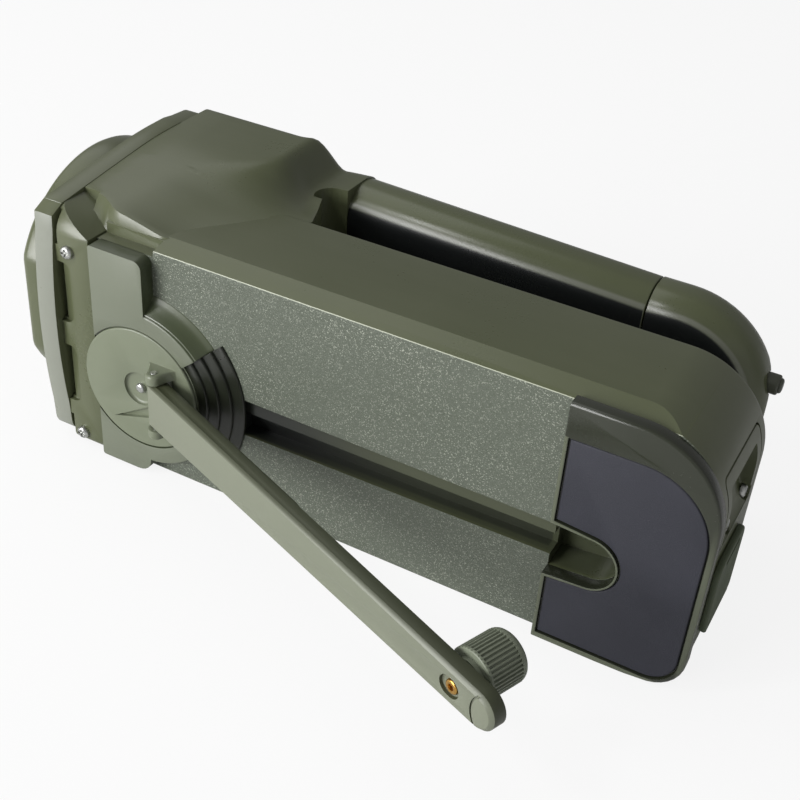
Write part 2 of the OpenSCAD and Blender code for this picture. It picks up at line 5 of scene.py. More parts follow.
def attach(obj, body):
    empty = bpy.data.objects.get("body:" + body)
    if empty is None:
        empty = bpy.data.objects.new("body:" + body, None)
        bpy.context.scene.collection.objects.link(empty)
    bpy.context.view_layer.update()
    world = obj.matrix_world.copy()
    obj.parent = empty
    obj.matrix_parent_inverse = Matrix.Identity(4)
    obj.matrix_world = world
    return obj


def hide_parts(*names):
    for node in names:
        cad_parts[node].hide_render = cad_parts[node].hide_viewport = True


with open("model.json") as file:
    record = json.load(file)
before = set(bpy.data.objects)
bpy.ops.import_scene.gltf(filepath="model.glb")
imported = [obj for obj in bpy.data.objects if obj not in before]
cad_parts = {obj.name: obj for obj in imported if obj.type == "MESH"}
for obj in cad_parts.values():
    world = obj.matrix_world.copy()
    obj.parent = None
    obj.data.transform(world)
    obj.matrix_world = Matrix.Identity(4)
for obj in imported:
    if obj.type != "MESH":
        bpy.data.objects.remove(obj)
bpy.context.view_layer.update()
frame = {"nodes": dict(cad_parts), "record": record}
mm = 0.001


# one socket, so that shader sums read as plain sums
class Sock:
    def __init__(self, net, out):
        self.net, self.out = net, out

    def math(self, op, other, flip=False):
        a, b = (other, self) if flip else (self, other)
        return self.net.add("ShaderNodeMath", {"operation": op}, [a, b])

    def __add__(self, o): return self.math("ADD", o)
    def __radd__(self, o): return self.math("ADD", o, True)
    def __sub__(self, o): return self.math("SUBTRACT", o)
    def __rsub__(self, o): return self.math("SUBTRACT", o, True)
    def __mul__(self, o): return self.math("MULTIPLY", o)
    def __gt__(self, o): return self.math("GREATER_THAN", o)
    def __lt__(self, o): return self.math("LESS_THAN", o)


class Net:
    def __init__(self, name):
        self.mat = bpy.data.materials.new(name)
        self.mat.use_nodes = True
        self.tree = self.mat.node_tree
        self.tree.nodes.clear()
        self.end = self.tree.nodes.new("ShaderNodeOutputMaterial")

    # any node: its settings first, then its sockets by place or name
    def add(self, kind, settings=None, values=(), out=0):
        n = self.tree.nodes.new(kind)
        for k, v in (settings or {}).items():
            setattr(n, k, v)
        for key, v in (values.items() if isinstance(values, dict) else enumerate(values)):
            if isinstance(v, Sock):
                self.tree.links.new(v.out, n.inputs[key])
            else:
                n.inputs[key].default_value = v
        return Sock(self, n.outputs[out])

    # the three parts of a vector
    def split(self, vector):
        parts = self.add("ShaderNodeSeparateXYZ", None, [vector]).out.node.outputs
        return [Sock(self, part) for part in parts]

    def place(self):
        return self.add("ShaderNodeTexCoord", out=3)

    def noise(self, where, scale, detail=2, rough=0.5):
        return self.add("ShaderNodeTexNoise", None,
                        {"Vector": where, "Scale": scale, "Detail": detail, "Roughness": rough})

    def ramp(self, value, lo, hi):
        return self.add("ShaderNodeMapRange", {"interpolation_type": "SMOOTHSTEP"},
                        {"Value": value, "From Min": lo, "From Max": hi, "To Min": 0.0, "To Max": 1.0})

    def mix(self, f, a, b):
        n = self.tree.nodes.new("ShaderNodeMix")
        n.data_type = "RGBA"
        for i, v in ((0, f), (6, a), (7, b)):
            if isinstance(v, Sock):
                self.tree.links.new(v.out, n.inputs[i])
            else:
                n.inputs[i].default_value = v
        return Sock(self, n.outputs[2])

    def bump(self, height, dist):
        return self.add("ShaderNodeBump", None, {"Strength": 1.0, "Distance": dist, "Height": height})

    def surface(self, values):
        s = self.add("ShaderNodeBsdfPrincipled", None, values)
        self.tree.links.new(s.out, self.end.inputs[0])
        return self.mat


def colour(hexText, k=1.0):
    c = [int(hexText[i:i + 2], 16) / 255 for i in (0, 2, 4)]
    return tuple((x / 12.92 if x <= 0.04045 else ((x + 0.055) / 1.055) ** 2.4) * k for x in c) + (1.0,)


# zones of the textured panel, of the painted highlight along its top edge and of the painted shade in the
# groove and pocket sunk into it, in metres
panelZone = {"face": (0.0272, 0.0282), "highlightBand": (0.104, 0.108), "sunk": (-0.0282, -0.0262),
             "groove": (0.04, 0.222), "grooveHigh": (0.03, 0.062), "floor": (-0.0252, -0.0235),
             "slotEnd": 0.19, "hubShade": (0.135, 0.075)}
# narrow rim round the pad and its lighter tail end, where a painted highlight lies, in metres
rimHighlightZone = {"mouth": (0.0323, 0.0607, 0.2216), "left": (0.1936, 0.1), "low": 0.0026, "tail": (0.2505, 0.2525),
           "fade": (0.09, 0.03)}


# spark texture on faces that look towards the crank side, with painted highlights in its bright flecks and
# glints, a painted highlight along the top edge and painted shade in the groove and pocket
def panelLook(net, p, col, shine, height, base, sparkle, level):
    along, across, high = net.split(p)
    toward = 0 - net.split(net.add("ShaderNodeTexCoord", out=1))[1]
    share = net.ramp(toward, 0.9, 0.97) * net.ramp(0 - across, *panelZone["face"])
    cell = net.add("ShaderNodeTexVoronoi", {"feature": "F1"}, {"Vector": p, "Scale": 2600.0}, out=1)
    dots = net.add("ShaderNodeSeparateColor", None, [cell])
    glint = net.ramp(net.noise(p, 3400, 2, 0.7), 0.52, 0.78)
    patch = net.ramp(net.noise(p, 30, 2), 0.3, 0.7) * 0.5 + 0.5
    col = net.mix(share, col, colour(level))
    # painted highlights: the spark texture's bright flecks and glints
    col = net.mix(share * net.ramp(dots, 0.8, 1.0) * patch * sparkle, col, colour("D4D8C8"))
    col = net.mix(share * net.ramp(1 - dots, 0.6, 1.0) * sparkle * 0.6, col, colour(base, 0.5))
    col = net.mix(share * glint * sparkle * 0.7, col, colour("A9AE9C"))
    # painted highlight: a light line on the rounded upper near edge of the bar
    edge = net.ramp(toward, 0.5, 0.7) * (1 - net.ramp(toward, 0.88, 0.96))
    col = net.mix(edge * net.ramp(high, *panelZone["highlightBand"]) * 0.7, col, colour("B4B8A6"))
    (x0, x1), (z0, z1) = panelZone["groove"], panelZone["grooveHigh"]
    sunk = net.ramp(across, *panelZone["sunk"]) * (along > x0) * (along < x1) * (high > z0) * (high < z1)
    floorShade = net.ramp(across, *panelZone["floor"]) * (along < panelZone["slotEnd"])
    shadeFrom, shadeOver = panelZone["hubShade"]
    # painted shade: the groove and pocket darker, the slot's floor darker still, and the groove darkest
    # towards the hub
    col = net.mix(sunk * 0.45, col, colour("2E3229"))
    col = net.mix(sunk * floorShade * 0.6, col, colour("1C1F1C"))
    col = net.mix(sunk * net.ramp(shadeFrom - along, 0.0, shadeOver) * 0.85, col, colour("141618"))
    return col, shine + share * 0.12, height + share * (dots * 0.5 + glint * 0.4)


# painted highlight: a light line along the pad's rim, and a lighter tail end
def rimHighlight(net, p, col, toward, rim):
    along, _, high = net.split(p)
    (z0, z1, x1), (leftEnd, leftTop) = rimHighlightZone["mouth"], rimHighlightZone["left"]
    mouth = (high > z0) * (high < z1) * (along < x1)
    band = mouth + (along < leftEnd) * (high < leftTop) + (high < rimHighlightZone["low"])
    col = net.mix(net.ramp(band, 0.0, 1.0) * net.ramp(toward, 0.3, 0.6) * 0.8, col, colour(rim))
    fadeFrom, fadeOver = rimHighlightZone["fade"]
    tail = net.ramp(along, *rimHighlightZone["tail"]) * net.ramp(fadeFrom - high, 0.0, fadeOver)
    return net.mix(tail * 0.8, col, colour(rim, 0.8))


# moulded plastic: slow mottling and faint grain; the other values add the panel's spark texture and paint
# highlights and shade onto faces by where they lie and the way they point
def plastic(name, base, light, rough, mottle=0.15, panel=None, inner=False, side=None, wallShade=None, rim=None):
    net = Net(name)
    p = net.place()
    slow = net.ramp(net.noise(p, 18, 3), 0.3, 0.7)
    fine = net.noise(p, 600, 2, 0.5)
    streak = net.noise(net.add("ShaderNodeMapping", None, {"Vector": p, "Scale": (4, 60, 60)}), 3, 3)
    col = net.mix(slow * mottle + (streak - 0.5) * mottle, colour(base), colour(light))
    shine = rough + (fine - 0.5) * 0.04 + (slow - 0.5) * 0.06
    height = fine * 0.006
    if panel:
        col, shine, height = panelLook(net, p, col, shine, height, base, *panel)
    if side or rim or wallShade or inner:
        facing = net.split(net.add("ShaderNodeTexCoord", out=1))[1]
        toward = 0 - facing
    # painted highlight: faces that look towards the crank side are lighter
    if side:
        col = net.mix(net.ramp(toward, 0.75, 0.9), col, colour(side))
    # painted highlight along the pad's rim and on its tail end
    if rim:
        col = rimHighlight(net, p, col, toward, rim)
    # painted shade: faces that do not look along the hub's axis, such as side walls, are darker
    if wallShade:
        shade, low, high = wallShade
        col = net.mix(1 - net.ramp(facing * facing, low, high), col, colour(shade))
    # painted highlight line along the inner faces' upper edge, then painted shade: faces that look towards the
    # crank side near black, for the shade inside the finger gap
    if inner:
        col = net.mix(net.ramp(toward, 0.80, 0.86), col, colour("6A6D60"))
        col = net.mix(net.ramp(toward, 0.90, 0.94), col, colour("17191A"))
    return net.surface({"Base Color": col, "Roughness": shine, "IOR": 1.5,
                        "Normal": net.bump(height, 0.00025)})


def metal(name, base, rough, brushed=0.0):
    net = Net(name)
    p = net.place()
    streak = net.noise(p, 260, 4, 0.6)
    dull = net.ramp(net.noise(p, 70, 3), 0.45, 0.75)
    return net.surface({"Base Color": net.mix(dull * 0.35, colour(base), colour(base, 0.55)), "Metallic": 1.0,
                        "Roughness": rough + dull * 0.15 + (streak - 0.5) * 0.1,
                        "Normal": net.bump(streak, 0.00004 + brushed * 0.0002)})


def rubber(name, base, light, rough=0.7):
    net = Net(name)
    p = net.place()
    fine = net.noise(p, 1500, 3, 0.7)
    dust = net.ramp(net.noise(p, 35, 4), 0.4, 0.75)
    return net.surface({"Base Color": net.mix(dust * 0.45 + (fine - 0.5) * 0.5, colour(base), colour(light)),
                        "Roughness": rough + (fine - 0.5) * 0.2, "Normal": net.bump(fine, 0.00012)})


def clearLens():
    net = Net("clearLens")
    p = net.place()
    dust = net.ramp(net.noise(p, 60, 4), 0.5, 0.8)
    return net.surface({"Base Color": (0.96, 0.98, 0.97, 1), "Roughness": 0.02 + dust * 0.05,
                        "Transmission Weight": 1.0, "IOR": 1.49})


def boardGreen():
    net = Net("boardGreen")
    p = net.place()
    tracks = net.add("ShaderNodeTexBrick", None, {"Vector": p, "Scale": 160.0}, out=1)
    return net.surface({"Base Color": net.mix(tracks, colour("1E5B3A"), colour("2F7A50")),
                        "Roughness": 0.4 + tracks * 0.1, "Normal": net.bump(tracks, 0.00008)})


finish = {
    # painted highlights in the panel's flecks and along its top edge, painted shade in its groove and pocket
    "panelGreen": plastic("panelGreen", "4C5139", "585C46", 0.3, 0.3, panel=(0.4, "555B50")),
    # painted highlight line and painted shade on the grip's inner faces
    "gripGreen": plastic("gripGreen", "4C5139", "585C46", 0.3, 0.3, inner=True),
    "bodyGreen": plastic("bodyGreen", "4C5139", "585C46", 0.3, 0.3),
    # painted shade on the cover's side walls
    "coverGreen": plastic("coverGreen", "606556", "686D5D", 0.36, 0.2, wallShade=("3A412C", 0.52, 0.92)),
    # a darker copy of the body olive: painted shade where light falls off towards the tail, with a painted
    # highlight on the rim
    "padShadedGreen": plastic("padShadedGreen", "272A20", "2E3127", 0.26, 0.2, rim="5C6150"),
    # painted highlight on the flange's faces towards the crank side
    "flangeGreen": plastic("flangeGreen", "4C5139", "585C46", 0.3, 0.3, side="7A7D73"),
    "hubGreen": plastic("hubGreen", "666C59", "6E7461", 0.38, 0.2),
    "ringGreen": plastic("ringGreen", "191C14", "22251B", 0.3, 0.2),
    # painted shade on the arm's side walls
    "armGreen": plastic("armGreen", "6B6F5F", "747868", 0.46, 0.2, wallShade=("3A3E2B", 0.3, 0.72)),
    "knobGreen": plastic("knobGreen", "6C7262", "757B6A", 0.45, 0.2),
    "darkGreen": plastic("darkGreen", "3F4237", "4A4D40", 0.4, 0.2),
    "blackPlastic": plastic("blackPlastic", "17181A", "222427", 0.5),
    "cellWrap": plastic("cellWrap", "1F5E55", "2B6E63", 0.3),
    "slatePad": rubber("slatePad", "21222B", "2A2B35"),
    "blackRubber": rubber("blackRubber", "121212", "222222"),
    "greenRubber": rubber("greenRubber", "454F39", "566046", 0.6),
    "steel": metal("steel", "B8B9B6", 0.28, 0.3),
    "brass": metal("brass", "B98F4A", 0.3, 0.2),
    "aluminium": metal("aluminium", "C4C6C8", 0.35, 0.5),
    "mirror": metal("mirror", "E8E8E8", 0.05),
    "clearLens": clearLens(),
    "boardGreen": boardGreen(),
}
slotFinish = {"olive_plastic": "bodyGreen", "dark_plastic": "darkGreen", "black_plastic": "blackPlastic",
              "slate_rubber": "slatePad", "black_rubber": "blackRubber", "green_rubber": "greenRubber",
              "clear_lens": "clearLens", "mirror": "mirror", "board": "boardGreen", "aluminium": "aluminium",
              "steel": "steel", "brass": "brass", "cell_wrap": "cellWrap"}
slotOf = {s["node"]: s["material_slot"] for s in frame["record"]["subparts"]}
for name, obj in frame["nodes"].items():
    obj.data.materials.clear()
    obj.data.materials.append(finish[slotFinish[slotOf[name]]])
print("finishes", len(finish))


# hand tools used on every piece
def clearPick():
    if bpy.context.mode != "OBJECT":
        bpy.ops.object.mode_set(mode="OBJECT")
    bpy.ops.object.select_all(action="DESELECT")


def only(o):
    clearPick()
    o.select_set(True)
    bpy.context.view_layer.objects.active = o


def edit(o):
    only(o)
    bpy.ops.object.mode_set(mode="EDIT")
    bpy.ops.mesh.select_mode(type="VERT")
    bpy.ops.mesh.select_all(action="SELECT")


def endEdit(tidyNormals=False):
    if tidyNormals:
        bpy.ops.mesh.select_all(action="SELECT")
        bpy.ops.mesh.normals_make_consistent(inside=False)
    bpy.ops.object.mode_set(mode="OBJECT")


# points along an arc, from one angle to another
def arc(cx, cy, r, a0, a1, n=12):
    turns = [math.radians(a0 + (a1 - a0) * k / n) for k in range(n + 1)]
    return [(cx + r * math.cos(t), cy + r * math.sin(t)) for t in turns]


def roundRect(x0, y0, x1, y1, r, n=8):
    r = [r] * 4 if not isinstance(r, (list, tuple)) else r
    return (arc(x0 + r[0], y0 + r[0], r[0], 180, 270, n) + arc(x1 - r[1], y0 + r[1], r[1], 270, 360, n)
            + arc(x1 - r[2], y1 - r[2], r[2], 0, 90, n) + arc(x0 + r[3], y1 - r[3], r[3], 90, 180, n))


# outline points of a plane, set in space at a place along its axis
def inSpace(pts, plane, at):
    return [Vector({"xz": (a, at, b), "yz": (at, a, b), "xy": (a, b, at)}[plane]) * mm for a, b in pts]


# a flat face: a circle with as many corners as the outline, its corners moved to the outline
def flat(name, spots):
    clearPick()
    bpy.ops.mesh.primitive_circle_add(vertices=len(spots), radius=1, fill_type="NGON")
    o = bpy.context.object
    o.name = o.data.name = name
    for v, spot in zip(o.data.vertices, spots):
        v.co = spot
    return o


# flat face pulled out to a plate between two places
def plate(name, pts, plane, a, b):
    clean = [p for k, p in enumerate(pts) if math.dist(p, pts[k - 1]) > 0.02]
    o = flat(name, inSpace(clean, plane, a))
    edit(o)
    step = {"xz": (0, b - a, 0), "yz": (b - a, 0, 0), "xy": (0, 0, b - a)}[plane]
    bpy.ops.mesh.extrude_region_move(TRANSFORM_OT_translate={"value": tuple(s * mm for s in step)})
    endEdit(True)
    return o


# round plate, its axis square to the plane
def disc(name, plane, ca, cb, r, a, b, n=96):
    return plate(name, arc(ca, cb, r, 0, 360 - 360 / n, n - 1), plane, a, b)


# a solid drawn through several rings of spots, all with the same number of corners
# each new ring is first pulled a metre away, clear of the others, and then set in its place
def loft(name, rings, away=Vector((1, 0, 0))):
    o = flat(name, rings[0])
    edit(o)
    for last, here in zip(rings, rings[1:]):
        bpy.ops.mesh.extrude_region_move(TRANSFORM_OT_translate={"value": tuple(away)})
        bpy.ops.object.mode_set(mode="OBJECT")
        for v in [v for v in o.data.vertices if v.select]:
            k = min(range(len(last)), key=lambda i: (last[i] + away - v.co).length_squared)
            v.co = here[k]
        bpy.ops.object.mode_set(mode="EDIT")
    endEdit(True)
    return o


def loftPlanes(name, plane, sections):
    away = {"yz": Vector((1, 0, 0)), "xz": Vector((0, 1, 0))}[plane]
    return loft(name, [inSpace(pts, plane, at) for at, pts in sections], away)


# smooth step from 0 at a to 1 at b
def ease(v, a, b):
    t = min(max((v - a) / (b - a), 0), 1)
    return t * t * (3 - 2 * t)


# bevels the edges whose two ends both pass a test on millimetres
def edgeRound(o, test, width, segments=5):
    only(o)
    me = o.data
    for group in (me.vertices, me.edges, me.polygons):
        group.foreach_set("select", [False] * len(group))
    count = 0
    for e in me.edges:
        a, b = (me.vertices[i].co / mm for i in e.vertices)
        if test(a) and test(b) and (a - b).length > 1e-4:
            e.select = True
            count += 1
    bpy.context.tool_settings.mesh_select_mode = (False, True, False)
    bpy.ops.object.mode_set(mode="EDIT")
    if count:
        bpy.ops.mesh.bevel(offset=width * mm, offset_type="OFFSET", segments=segments, profile=0.5,
                           affect="EDGES", clamp_overlap=True)
    bpy.ops.object.mode_set(mode="OBJECT")


def apply(o, kind, **settings):
    only(o)
    md = o.modifiers.new(kind, kind)
    for k, v in settings.items():
        setattr(md, k, v)
    bpy.ops.object.modifier_apply(modifier=md.name)


def drop(o):
    me = o.data
    bpy.data.objects.remove(o, do_unlink=True)
    bpy.data.meshes.remove(me)


def cut(o, tool, way="DIFFERENCE"):
    apply(o, "BOOLEAN", operation=way, object=tool, solver="MANIFOLD")
    drop(tool)


def join(o, *more):
    for p in more:
        cut(o, p, "UNION")


# even small rounding of what is still sharp, then smooth shading
def soften(o, width=0.6, segments=2, angle=32, shade=35):
    edit(o)
    bpy.ops.mesh.remove_doubles(threshold=0.00002)
    bpy.ops.mesh.dissolve_degenerate(threshold=0.00002)
    bpy.ops.object.mode_set(mode="OBJECT")
    if width:
        apply(o, "BEVEL", width=width * mm, segments=segments, limit_method="ANGLE",
              angle_limit=math.radians(angle), use_clamp_overlap=True, harden_normals=False)
    only(o)
    bpy.ops.object.shade_smooth_by_angle(angle=math.radians(shade))


def finishPiece(o, look, body, nodes):
    o.data.materials.clear()
    o.data.materials.append(finish[look])
    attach(o, body)
    if nodes:
        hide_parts(*nodes)


# height of the hub's axis above the rest face
hub = {"z": 46.5}


# round about the hub's axis
def hubDisc(name, r, a, b, n=96):
    return disc(name, "xz", 0, hub["z"], r, a, b, n)


# main bar: tub with its back plate, stow groove and knob pocket sunk into the crank side
bar = {"near": -28.5, "far": 28.5, "front": -24, "tail": 253, "top": 115.5, "tailRound": 36, "lowRound": 16,
       "lowEdge": 11, "slantAt": 112.4, "slant": (0, -0.31, 0.951), "topEdge": 1.2, "farEdge": 4,
       "groove": (48, 208.8), "grooveHalf": (9, 7.5), "grooveDepth": 8, "ledgeDepth": 2.6, "slotTop": 0.12,
       "pocket": (208.8, 11.6), "pocketDepth": 14.5, "mouthHalf": 13, "mouthX": 192.2}
tailMid = (bar["tail"] - bar["tailRound"], bar["top"] - bar["tailRound"])
side = ([(bar["front"], 0)]
        + arc(bar["tail"] - bar["lowRound"], bar["lowRound"], bar["lowRound"], 270, 360, 10)
        + arc(*tailMid, bar["tailRound"], 0, 90, 24) + [(bar["front"], bar["top"])])
mainBar = plate("mainBar", side, "xz", bar["near"], bar["far"])
nearEdge = lambda p: abs(p.y - bar["near"]) < 0.05
edgeRound(mainBar, lambda p: nearEdge(p) and p.z < 0.1, bar["lowEdge"], 6)
edit(mainBar)
bpy.ops.mesh.bisect(plane_co=(0, bar["near"] * mm, bar["slantAt"] * mm), plane_no=bar["slant"],
                    use_fill=True, clear_outer=True)
endEdit()
edgeRound(mainBar, lambda p: nearEdge(p) and p.z > bar["slantAt"] - 0.1, bar["topEdge"], 3)
edgeRound(mainBar, lambda p: abs(p.y - bar["far"]) < 0.05, bar["farEdge"], 4)


def grooveSide(low, high):
    (x0, x1), (h0, h1) = bar["groove"], bar["grooveHalf"]
    z = hub["z"]
    return [(x0, z + h0 * low), (x1, z + h1 * low), (x1, z + h1 * high), (x0, z + h0 * high)]


def pocketSide(x0):
    cx, r = bar["pocket"]
    half = bar["mouthHalf"]
    return [(x0, hub["z"] - half)] + arc(cx, hub["z"], r, -88, 88, 20) + [(x0, hub["z"] + half)]


# cuts into the crank side, down to a depth
def sink(name, pts, depth):
    cut(mainBar, plate(name, pts, "xz", bar["near"] - 3, bar["near"] + depth))


corner = [(-30, 109.8), (4.4, 109.8), (6.2, 118), (6.2, 130), (-30, 130)]
cut(mainBar, plate("cornerTool", corner, "xz", -40, -22))
sink("ledgeTool", grooveSide(-1, 1), bar["ledgeDepth"])
sink("slotTool", grooveSide(-1, bar["slotTop"]), bar["grooveDepth"])
sink("pocketTool", pocketSide(bar["mouthX"]), bar["pocketDepth"])
# rear door: a parting seam round the tail with a finger scoop, and two screw wells
door = {"x": 226, "low": 64, "high": 97, "near": -24, "far": 20, "seam": 0.8, "corner": 3, "deep": 1.6,
        "scoop": (267, 79, 20), "scoopWide": (-19, 14), "scoopEdge": 5,
        "screwX": 250, "screwY": (-10, 14), "screwZ": 67.8, "well": 3.3}


def doorSide(inset):
    return roundRect(door["near"] + inset, door["low"] + inset, door["far"] - inset, door["high"] - inset,
                     door["corner"] - inset * 0.75)


seam = plate("seamOut", doorSide(0), "yz", door["x"], 256)
cut(seam, plate("seamIn", doorSide(door["seam"]), "yz", door["x"] - 1, 257))
keepX, keepEnd = door["x"] - 2, bar["tail"] - door["deep"]
keepSide = [(keepX, 30)] + arc(*tailMid, bar["tailRound"] - door["deep"], 0, 60, 24) + [(keepX, 104)]
cut(seam, plate("seamKeep", keepSide, "xz", -40, 40))
cut(seam, plate("seamLow", [(keepX, 20), (keepEnd, 20), (keepEnd, 72), (keepX, 72)], "xz", -40, 40))
cut(mainBar, seam)
scoop = disc("scoop", "xz", *door["scoop"], *door["scoopWide"], 64)
edgeRound(scoop, lambda p: True, door["scoopEdge"], 4)
cut(mainBar, scoop)
for y in door["screwY"]:
    cut(mainBar, disc("well", "yz", y, door["screwZ"], door["well"], door["screwX"] - 0.1, 262, 32))
# charging port behind the flap: its opening here, its contacts further down
port = {"hole": (-13, 28, 5, 50), "floor": 236.4, "y": -4, "z": 39, "sleeve": (5.6, 4.5), "pin": 1.1,
        "back": 242.6, "front": 249.5}
cut(mainBar, plate("portTool", roundRect(*port["hole"], 0.6, 3), "yz", port["floor"], 262))
soften(mainBar, 1.0, 2, shade=16)
finishPiece(mainBar, "panelGreen", "lamp", ["body_shell", "stow_tray", "body_back", "battery_door"])
print("main bar", len(mainBar.data.polygons))

# pad block at the tail, its rim and rubber pad
pad = {"x0": 192, "x1": 254, "out": -34.8, "top": 114.5, "lowRound": 16, "topRound": 36, "mouthX": 188,
       "rim": 1.2, "sunk": 0.7, "padLow": 2.4, "padTop": 99.5, "padTail": 251.5, "padLowRound": 13,
       "padTopRound": 29, "padGap": 1.5, "mouthRim": 1}
blockSide = ([(pad["x0"], 0)]
             + arc(pad["x1"] - pad["lowRound"], pad["lowRound"], pad["lowRound"], 270, 360, 8)
             + arc(pad["x1"] - pad["topRound"], pad["top"] - pad["topRound"], pad["topRound"], 0, 90, 20)
             + [(pad["x0"], pad["top"])])
padBlock = plate("padBlock", blockSide, "xz", pad["out"], bar["near"])
outEdge = lambda p: abs(p.y - pad["out"]) < 0.05
edgeRound(padBlock, lambda p: outEdge(p) and p.z > 17, 1.3, 3)
edgeRound(padBlock, lambda p: outEdge(p) and p.z < 17 and p.x > pad["x0"] + 0.1, 1.8, 3)
cut(padBlock, plate("pocketTool", pocketSide(pad["mouthX"]), "xz", -50, -20))


def padSide(inset):
    cx, r = bar["pocket"]
    x0 = pad["x0"] + pad["padGap"] + inset
    low, lowRound, topRound = pad["padLow"], pad["padLowRound"], pad["padTopRound"]
    grow = pad["mouthRim"] + inset
    half = bar["mouthHalf"] + grow
    return ([(x0, low + inset)]
            + arc(pad["padTail"] - lowRound, low + lowRound, lowRound - inset, 270, 360, 8)
            + arc(pad["padTail"] - topRound, pad["padTop"] - topRound, topRound - inset, 0, 90, 14)
            + [(x0, pad["padTop"] - inset), (x0, hub["z"] + half)]
            + arc(cx, hub["z"], r + grow, 88, -88, 20) + [(x0, hub["z"] - half)])


cut(padBlock, plate("padTool", padSide(0), "xz", -50, pad["out"] + 2))
soften(padBlock, 0.5, 2)
finishPiece(padBlock, "padShadedGreen", "lamp", ["pad_block"])
rubberPad = plate("rubberPad", padSide(pad["rim"] * 0.5), "xz", pad["out"] + pad["sunk"], pad["out"] + 2)
edgeRound(rubberPad, lambda p: p.y < pad["out"] + pad["sunk"] + 0.05, 0.8, 3)
soften(rubberPad, 0)
finishPiece(rubberPad, "slatePad", "lamp", ["rubber_pad"])
print("pad")

# front flange with arched sides, and the lens ring in front of it
lensAxis = {"y": 21.5, "z": 65}
flange = {"halfW": 59.5, "halfH": 65, "bow": 4.6, "corner": 8, "x0": -52, "x1": -42.5, "hole": 52}


# round about the lens's axis
def lensDisc(name, r, a, b, n=96):
    return disc(name, "yz", lensAxis["y"], lensAxis["z"], r, a, b, n)


# square with bowed sides: at each corner an arc, then the bow that leads to the next corner
def archedSquare(w, h, bow, r, n=14):
    pts = []
    for k, (sx, sy) in enumerate(((1, -1), (1, 1), (-1, 1), (-1, -1))):
        start = (-90, 0, 90, 180)[k]
        pts += arc(sx * (w - bow - r + 1), sy * (h - bow - r + 1), r, start + 6, start + 84, 8)
        nx, ny = ((1, 0), (0, 1), (-1, 0), (0, -1))[k]
        for i in range(1, n):
            t = i / n * 2 - 1
            out = bow * t * t * 0.9
            if nx:
                pts.append((nx * (w - out), nx * t * (h - bow - r) * 0.98))
            else:
                pts.append((-ny * t * (w - bow - r) * 0.98, ny * (h - out)))
    return pts


# roof line shared by the flange and the head: level on the far side, falling to the crank side
roof = {"high": 127.8, "bendY": 36, "fall": 0.124, "soft": 10}


def archTop(y):
    away = roof["bendY"] - y
    return roof["high"] - roof["fall"] * (math.hypot(away, roof["soft"]) + away) / 2


outline = archedSquare(flange["halfW"], flange["halfH"], flange["bow"], flange["corner"])
outline = [(y + lensAxis["y"], z + lensAxis["z"]) for y, z in outline]
frontFlange = plate("frontFlange", outline, "yz", flange["x0"], flange["x1"])
underRoof = ([(-60, -20), (110, -20)] + [(y, archTop(y) + 0.2) for y in range(110, -30, -6)]
             + [(-28, 119.8), (-36.5, 115.6), (-60, 104)])
cut(frontFlange, plate("roofTool", underRoof, "yz", -60, -30), "INTERSECT")
edgeRound(frontFlange, lambda p: p.x < flange["x0"] + 0.05, 1.4, 3)
edgeRound(frontFlange, lambda p: p.x > flange["x1"] - 0.05, 0.8, 2)
cut(frontFlange, lensDisc("hole", flange["hole"], -60, -30))
soften(frontFlange, 0.6, 2)
finishPiece(frontFlange, "flangeGreen", "lamp", ["front_flange"])

ring = {"r": 58, "z": 66.5, "x0": -66, "x1": -52, "hole": 48, "flat": -32, "seat": 50.1}
ringSide = [(max(y, ring["flat"]), z) for y, z in arc(lensAxis["y"], ring["z"], ring["r"], 0, 357, 119)]
lensRing = plate("lensRing", ringSide, "yz", ring["x0"], ring["x1"])
edgeRound(lensRing, lambda p: p.x < ring["x0"] + 0.05, 4, 5)
edgeRound(lensRing, lambda p: p.x > ring["x1"] - 0.05, 1.5, 2)
cut(lensRing, lensDisc("hole", ring["hole"], -70, -45))
cut(lensRing, lensDisc("seat", ring["seat"], -59, -45))
soften(lensRing, 0.8, 3)
finishPiece(lensRing, "bodyGreen", "lamp", ["lens_ring"])
print("flange and ring")

# head: collar behind the flange, hood over the bar and box that runs into the handle
head = {"collar": (-42.4, -24.4), "far": 80, "low": 2, "barTop": 114.7, "handleTop": 112.6,
        "boxEnd": 46, "handleLow": 56.4, "pocketZ": ((66, 96), (24, 54))}


def headTop(x, y):
    start = -24 + 4 * ease(y, -19, 8) + 35 * ease(y, 10, 55)
    end = 14 + 26 * ease(y, -19, 25) - 11 * ease(y, 30, 60)
    low = head["barTop"] + (head["handleTop"] - head["barTop"]) * ease(y, 25, 45)
    return low + (archTop(y) - low) * (1 - ease(x, start, end))


def hoodSection(x):
    f = ease(x, 3, 12)
    y0, y1 = -22.6 + 3.1 * f, -14 - 7.2 * ease(x, -34, -17) + 2.7 * f
    across = [22 - (22 - y1) * k / 14 for k in range(15)]
    return [(y0, 109.3), (22, 109.3)] + [(y, headTop(x, y)) for y in across]


def boxSection(x):
    y0, y1 = 20, head["far"] + 16.3 * ease(x, 8, 42)
    low = head["low"] + (head["handleLow"] - head["low"]) * ease(x, 14, head["boxEnd"])
    rf = 6 + 7 * ease(x, 20, 40)
    top = headTop(x, y1 - rf)
    across = [y1 - rf - (y1 - rf - y0) * k / 18 for k in range(1, 19)]
    return ([(y0, low)] + arc(y1 - 13, low + 13, 13, 270, 360, 7) + arc(y1 - rf, top - rf, rf, 0, 90, 9)
            + [(y, headTop(x, y)) for y in across])


